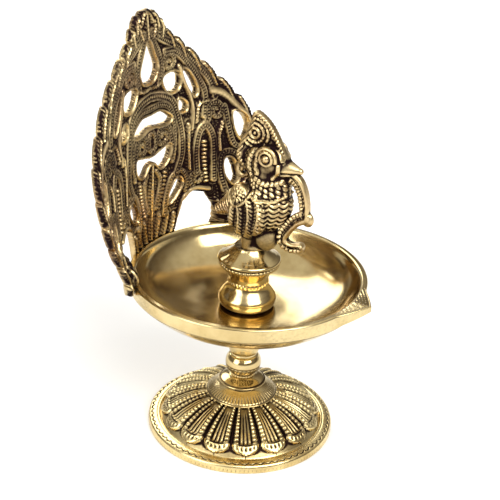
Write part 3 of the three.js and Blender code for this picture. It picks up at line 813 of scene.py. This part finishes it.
# ---------- bird
# Worked out in (x, s, z), where s runs forwards along the beak, so y = -s.
BIRD_CELL = 0.36
BIRD_FOOT = 81.6
CREST = [(13.8, 120.4), (10.6, 126.6), (6.2, 132.8), (1.2, 136.4), (-1.4, 136.2), (-2.2, 132.4),
         (-4.2, 127.6), (-6.6, 122.6), (-6.4, 117.4), (-2, 113.5), (6, 115), (12, 117)]
CREST_CURL = (-0.2, 128.3)
CREEPER_STEM = [(15.6, 114.4), (18.6, 112.6), (20.8, 108.8), (21.9, 104.6), (22.3, 101), (22.2, 99)]
CREEPER_SCROLL = [(22.4, 99.6), (18.8, 97), (15.6, 92.8), (13.8, 89.2), (14.6, 86.5), (17.8, 85.5),
                  (21.3, 86.2)]
WING_STROKES = [
    ("leaf", 1.7, 2.1, [(5, 106.5), (7, 102), (7.2, 97), (6, 91.4)]),
    ("leaf", 1.7, 2.1, [(1.8, 104.6), (3.2, 100), (3.2, 94.6), (2.2, 88.8)]),
    ("leaf", 1.5, 2, [(-1.6, 101.4), (-0.8, 97.6), (-0.9, 93.4), (-1.6, 89.4)]),
    ("leaf", 1.3, 1.7, [(-4.6, 99.4), (-4.8, 96), (-5.2, 92.4)]),
    ("rib", 1.5, 0.9, curl(-2.6, 105, 3.3, 0.7, -20, 1.5)),
    ("plain", 0.7, 0.7, [(-6, 103), (-3, 100.6), (0.6, 102.6), (3.4, 107)]),
]
HEAD_STROKES = [
    ("bead", 0.9, 0.9, [(2.6, 112.2), (6.4, 110.9), (10.6, 111.2), (14.2, 112.4)]),
    ("plain", 0.6, 0.6, [(2.8, 105.6), (7, 104.4), (12, 105), (16.4, 107.4)]),
    ("leaf", 1.3, 0.9, [(0.8, 123), (-0.4, 119), (-0.2, 115), (1.2, 111.6)]),
    ("leaf", 1.2, 0.9, [(3.6, 114.6), (2.6, 117.6), (3, 120.6)]),
    ("plain", 0.8, 0.5, [(2.4, 121), (4.2, 124.2), (8.2, 125.2), (11.4, 123.4), (13, 120.6)]),
    ("plain", 0.7, 0.6, [(9.8, 113.2), (11.6, 115.6), (11.8, 118.6)]),
]


def ellipsoid(p, centre, radii):
    """About the distance from an ellipsoid, negative inside. p holds the grids of x, s and z."""
    q = [(a - c) / r for a, c, r in zip(p, centre, radii)]
    k0 = np.sqrt(sum(a * a for a in q))
    k1 = np.sqrt(sum((a / r) ** 2 for a, r in zip(q, radii)))
    return k0 * (k0 - 1) / np.maximum(k1, 1e-4)


def taper(p, start, end, r0, r1):
    """A round bar from start to end, whose radius goes from r0 to r1."""
    way = np.subtract(end, start)
    t = np.clip(sum((a - b) * w for a, b, w in zip(p, start, way)) / (way @ way), 0, 1)
    return np.sqrt(sum((a - b - t * w) ** 2 for a, b, w in zip(p, start, way))) - (r0 + t * (r1 - r0))


def blend(a, b, soft):
    """Both solids, with a fillet of about that size where they meet."""
    h = np.clip(0.5 + 0.5 * (b - a) / soft, 0, 1)
    return b + (a - b) * h - soft * h * (1 - h)


def bird_body(p):
    """Breast, throat, tail, wings, thighs and legs on a small base."""
    both = [np.abs(p[0]), *p[1:]]
    f = ellipsoid(p, (0, 1.5, 98), (7.4, 12.6, 9.4))
    f = blend(f, ellipsoid(p, (0, 7.6, 102), (7.4, 8.8, 10)), 1.5)
    f = blend(f, taper(p, (0, 4.6, 104), (0, 5.2, 115), 6.8, 5.4), 2)
    f = blend(f, ellipsoid(p, (0, 9.2, 109), (4.9, 6.2, 7.5)), 1.2)
    f = blend(f, taper(p, (0, -7, 98.5), (0, -14.2, 93.4), 4.4, 2.2), 2)
    f = blend(f, ellipsoid(both, (6.6, 1.4, 97.6), (3, 8.2, 8.8)), 0.7)
    f = blend(f, ellipsoid(both, (5.2, -1.8, 104.6), (3, 4.4, 4)), 0.7)
    f = blend(f, ellipsoid(p, (0, 6.4, 87.4), (4.8, 5.4, 6.4)), 1)
    f = blend(f, taper(both, (3.4, 0.6, 91), (3, 0.4, 81), 3.2, 2.3), 0.8)
    return blend(f, taper(p, (0, 2, 81), (0, 2, 84), 5.2, 4.2), 0.8)


def bird_head(p):
    """Head, nape and a beak with a cut for the mouth."""
    f = ellipsoid(p, (0, 7.2, 118.6), (5.5, 7.6, 6.4))
    f = blend(f, ellipsoid(p, (0, 1.2, 117.4), (4.7, 5.6, 6.2)), 1.5)
    beak = taper(p, (0, 12.4, 117), (0, 19.2, 117), 4.3, 1.35)
    mouth = np.exp(-(((p[2] - 115.7) / 0.42) ** 2)) * step_up(p[1], 12, 13)
    return blend(f, beak + 0.7 * mouth, 0.7)


def nape_curl(p, s, z):
    """A small scroll behind the head."""
    path = np.vstack([[(0, 117)], curl(-4.2, 112.4, 3.4, 1, 70, 1.3)])
    d, along, _ = stroke_distance(smooth_curve(path, 4), s, z)
    return flat_shape((d - 1.15 + 0.3 * along)[None], p[0], np.full((1, 1, 1), 1.6), 0.6)


def eyes(p):
    """A round ball on each side, with a ring round it and a heavy brow over it."""
    x, s, z = np.abs(p[0]), p[1] - 6.8, p[2] - 120.6
    ball = np.sqrt((x - 4.7) ** 2 + s**2 + z**2) - 1.65
    away = np.hypot(s, z)
    ring = np.hypot(away - 2.55, x - 5.1) - 0.55
    brow = np.hypot(away - 4, x - 4.7) - 0.75
    brow = np.where(z > -0.4 - 0.2 * s, brow, 9)
    return np.minimum(np.minimum(ball, ring), brow)


def flat_shape(edge, x, half, rounding):
    """A flat piece in the mirror plane from the signed distance of its outline, with rounded edges."""
    a, b = edge + rounding, np.abs(x) - half + rounding
    return np.minimum(np.maximum(a, b), 0) + np.hypot(np.maximum(a, 0), np.maximum(b, 0)) - rounding


def crest(p, s, z):
    """A fan with a curl in its middle, ribs round the curl and a corded outer edge."""
    edge = outline_distance(smooth_loop(CREST, 6), s, z)
    away = np.hypot(s - CREST_CURL[0], z - CREST_CURL[1])
    ribs = 0.5 + 0.5 * np.cos(TAU * away / 1.9) * (away < 7.2)
    spokes = 0.5 + 0.5 * np.cos(np.arctan2(z - CREST_CURL[1], s - CREST_CURL[0]) * 18)
    ribs = np.where(away > 3.4, ribs * (0.6 + 0.4 * spokes), ribs)
    cord = band(edge, -1, 1) * (0.6 + 0.4 * np.sin((s - z) * TAU / 1.9))
    half = 1.35 + 0.85 * np.maximum(ribs * (edge < -1.6), cord) + 1.6 * step_up(123 - z, 0, 5)
    return flat_shape(edge[None], p[0], half[None], 0.5)


def creeper(p, s, z):
    """A stem from the beak's tip with beads on its inner edge, and the scroll under it."""
    f = np.full(np.broadcast(*p).shape, 9, np.float32)
    for line, wide, thick in ((CREEPER_STEM, 2.5, 1.7), (CREEPER_SCROLL, 2.6, 1.8)):
        path = smooth_curve(line, 6)
        d, along, length = stroke_distance(path, s, z)
        notch = 0.5 + 0.5 * np.cos(TAU * along * length / 1.5)
        inner = np.where(side_of(path, s, z) < 0, step_up(d, 0.2, 0.6), 0)
        half = thick - 0.7 * band(d, 0.35, 0.4) - 0.8 * notch * inner
        f = np.minimum(f, flat_shape((d - wide * (1 - 0.25 * along))[None], p[0], half[None], 0.7))
    leaf = ellipsoid(p, (0, 23.9, 98.6), (1.7, 2.4, 2.9))
    return np.minimum(f, leaf)


def side_of(path, s, z):
    """Positive where a grid point lies on the outer side of the path."""
    best, side = np.full(s.shape, 1e9), np.zeros(s.shape)
    for (s0, z0), (s1, z1) in zip(path[:-1], path[1:]):
        d = np.hypot(s - (s0 + s1) / 2, z - (z0 + z1) / 2)
        cross = (s1 - s0) * (z - z0) - (z1 - z0) * (s - s0)
        side = np.where(d < best, cross, side)
        best = np.minimum(d, best)
    return side


def feathers(p, s, z):
    """How far the feathers stand out of the body."""
    wing, head = np.zeros_like(s), np.zeros_like(s)
    for strokes, heights in ((WING_STROKES, wing), (HEAD_STROKES, head)):
        for stroke in strokes:
            lay_stroke(heights.T, s.T, z.T, *stroke)
    x, height = np.abs(p[0]), p[2]
    around = np.arctan2(x, p[1] - 3) * 8.5
    scale = 0.5 + 0.5 * np.cos(TAU * (height / 2 + 0.55 * np.abs(np.cos(around * math.pi / 2.6))))
    on_breast = step_up(height, 90, 92) * step_up(105.2 - height, 0, 0.8) * step_up(p[1], 6.6, 8.4)
    pebble = np.abs(np.cos(around * math.pi / 1.9) * np.cos((height + 0.4 * p[1]) * math.pi / 1.8))
    on_collar = step_up(height, 105.6, 106.2) * step_up(111.4 - height, 0, 0.6) * step_up(p[1], 1, 2.4)
    on_nape = step_up(height, 108, 110) * step_up(4.6 - p[1], 0, 1.5) * step_up(123 - height, 0, 2)
    tail = np.cos(TAU * (p[1] * 0.5 + height * 0.35)) * step_up(-5.6 - p[1], 0, 1)
    return (1.25 * wing[None] * step_up(x, 3.2, 5.2) + 0.7 * head[None] * step_up(x, 1.5, 3)
            + 0.55 * scale * on_breast + 0.5 * pebble * (on_collar + 0.8 * on_nape) + 0.3 * tail)


def surface_nets(f):
    """A closed quad mesh where f crosses 0, in grid steps, with one point in each cell that it crosses."""
    cells = tuple(n - 1 for n in f.shape)
    total, count = np.zeros((*cells, 3), np.float32), np.zeros(cells, np.int32)
    crossings = []
    for axis in range(3):
        a, b = np.moveaxis(f, axis, 0)[:-1], np.moveaxis(f, axis, 0)[1:]
        cross = (a < 0) != (b < 0)
        add_crossings(total, count, cross, np.where(cross, a / np.where(cross, a - b, 1), 0), axis)
        crossings.append((cross, a < 0))
    used = count > 0
    number = np.full(cells, -1)
    number[used] = np.arange(used.sum())
    corner = np.stack(np.nonzero(used), -1)
    points = corner + total[used] / count[used][:, None]
    return points, np.vstack([net_faces(number, axis, *crossings[axis]) for axis in range(3)]), corner


def add_crossings(total, count, cross, share, axis):
    """Adds where the surface cuts the grid's edges along one axis to the four cells round each edge."""
    others = [k for k in range(3) if k != axis]
    for u in (0, 1):
        for v in (0, 1):
            cut = np.s_[:, u:cross.shape[1] - 1 + u, v:cross.shape[2] - 1 + v]
            hit = np.moveaxis(cross[cut], 0, axis)
            count += hit
            total[..., axis] += np.moveaxis(share[cut], 0, axis)
            total[..., others[0]] += hit * u
            total[..., others[1]] += hit * v


def net_faces(number, axis, cross, inside_first):
    """The quads round all grid edges of one axis that the surface crosses."""
    grid = np.moveaxis(number, axis, 0)
    i, j, k = np.nonzero(cross[:, 1:-1, 1:-1])
    quad = np.stack([grid[i, j, k], grid[i, j + 1, k], grid[i, j + 1, k + 1], grid[i, j, k + 1]], -1)
    flip = inside_first[:, 1:-1, 1:-1][i, j, k] ^ (axis == 1)
    quad[~flip] = quad[~flip][:, ::-1]
    return quad


def bird_field(p, s, z):
    """Signed distance of the whole casting, on the cap's top."""
    f = blend(bird_body(p), bird_head(p), 1.2) - feathers(p, s, z)
    f = np.minimum(f, eyes(p))
    for part, soft in ((crest, 0.4), (creeper, 0.4), (nape_curl, 0.5)):
        f = blend(f, part(p, s, z), soft)
    return np.maximum(f, BIRD_FOOT - p[2]).astype(np.float32)


def make_bird():
    """The casting as one closed mesh. What stands out of its surroundings is rubbed bare."""
    xs = np.arange(-10.8, 10.9, BIRD_CELL)
    ss = np.arange(-18, 27.6, BIRD_CELL)
    zs = np.arange(BIRD_FOOT - 1.5 * BIRD_CELL, 143, BIRD_CELL)
    p = [a.astype(np.float32) for a in (xs[:, None, None], ss[None, :, None], zs[None, None, :])]
    f = bird_field(p, *np.meshgrid(ss, zs, indexing="ij"))
    points, faces, cell = surface_nets(f)
    standing = sum(blur(f, n)[tuple(cell.T)] - f[tuple(cell.T)] for n in (2, 4))
    x, s, z = (points * BIRD_CELL + [xs[0], ss[0], zs[0]]).T
    verts = np.stack([x, -s, np.maximum(z, BIRD_FOOT)], -1)
    make_piece("bird", verts, faces, np.clip(0.17 + 1.75 * standing, 0, 1), AGED, "figure",
               ["peacock"], 80)


def finish_hidden_metal():
    """Plain turned brass for the rod, the stud and what holds them."""
    for node in ("tie_rod", "foot_washer", "foot_nut", "figure_stud"):
        mesh = bpy.data.objects[node].data
        mesh.materials.clear()
        mesh.materials.append(PLAIN)


# ---------- stage, lights and camera, in metres
FLOOR_HALF = 3
LAMP_MIDDLE = Vector((0, 0, 0.080))
CAMERA_PLACE = Vector((-0.3944, -0.2097, 0.2996))
CAMERA_LEAN = math.radians(3.45)
SKY = [(0, (0.86, 0.86, 0.85)), (0.09, (0.80, 0.80, 0.78)), (0.2, (0.12, 0.10, 0.08)),
       (0.5, (0.34, 0.31, 0.28)), (0.85, (0.95, 0.95, 0.93))]


def make_floor():
    """A pale plain floor, wide enough to reach the horizon."""
    mesh = bpy.data.meshes.new("floor")
    corners = [(FLOOR_HALF * x, FLOOR_HALF * y, 0) for x, y in ((-1, -1), (1, -1), (1, 1), (-1, 1))]
    mesh.from_pydata(corners, [], [(0, 1, 2, 3)])
    floor = add_object("floor", mesh)
    material, add, place = new_material("pale_floor")
    clouds = add("ValToRGB", {"Fac": noise(add, place, 3, 2)})
    colour = fill_ramp(clouds, [(0.3, (0.92, 0.92, 0.91)), (0.7, (0.945, 0.945, 0.94))])
    shader = add("BsdfPrincipled", {"Base Color": colour, "Roughness": 0.7})
    add("OutputMaterial", {"Surface": shader.outputs["BSDF"]})
    mesh.materials.append(material)


def soft_light(name, place, size, power):
    """A rectangular lamp that faces the middle of the object."""
    data = bpy.data.lights.new(name, "AREA")
    data.shape = "RECTANGLE"
    data.size, data.size_y = size
    data.energy = power
    light = add_object(name, data)
    light.location = place
    light.rotation_euler = (LAMP_MIDDLE - Vector(place)).to_track_quat("-Z", "Y").to_euler()


def make_world():
    """A studio that is pale at the horizon, dark just above it and bright overhead."""
    world = bpy.data.worlds.new("studio")
    add = node_maker(world)
    place = add("SeparateXYZ", {"Vector": add("TexCoord").outputs["Generated"]})
    sky = fill_ramp(add("ValToRGB", {"Fac": place.outputs["Z"]}), SKY)
    light = add("Background", {"Color": sky, "Strength": 0.9})
    add("OutputWorld", {"Surface": light.outputs["Background"]})
    bpy.context.scene.world = world


def make_camera():
    """A long lens looking down on the lamp from the bird's right-hand side."""
    data = bpy.data.cameras.new("camera")
    camera = add_object("camera", data)
    level = (LAMP_MIDDLE - CAMERA_PLACE).to_track_quat("-Z", "Y").to_matrix().to_4x4()
    lean = Matrix.Rotation(CAMERA_LEAN, 4, "Z")
    camera.matrix_world = Matrix.Translation(CAMERA_PLACE) @ level @ lean
    data.sensor_width = 36
    data.lens = 91.9
    data.shift_y = -0.004
    data.clip_end = 10
    bpy.context.scene.camera = camera


make_foot()
make_stem()
make_post()
make_bowl()
make_plate()
make_bird()
finish_hidden_metal()

make_floor()
make_world()
soft_light("key", (-0.5, -1, 1.3), (1.3, 1), 26)
soft_light("side", (-1.4, 0.5, 0.8), (0.9, 1.2), 14)
soft_light("back", (0.9, 1.1, 1), (1.2, 0.8), 12)
make_camera()
bpy.context.scene.view_settings.view_transform = "Standard"
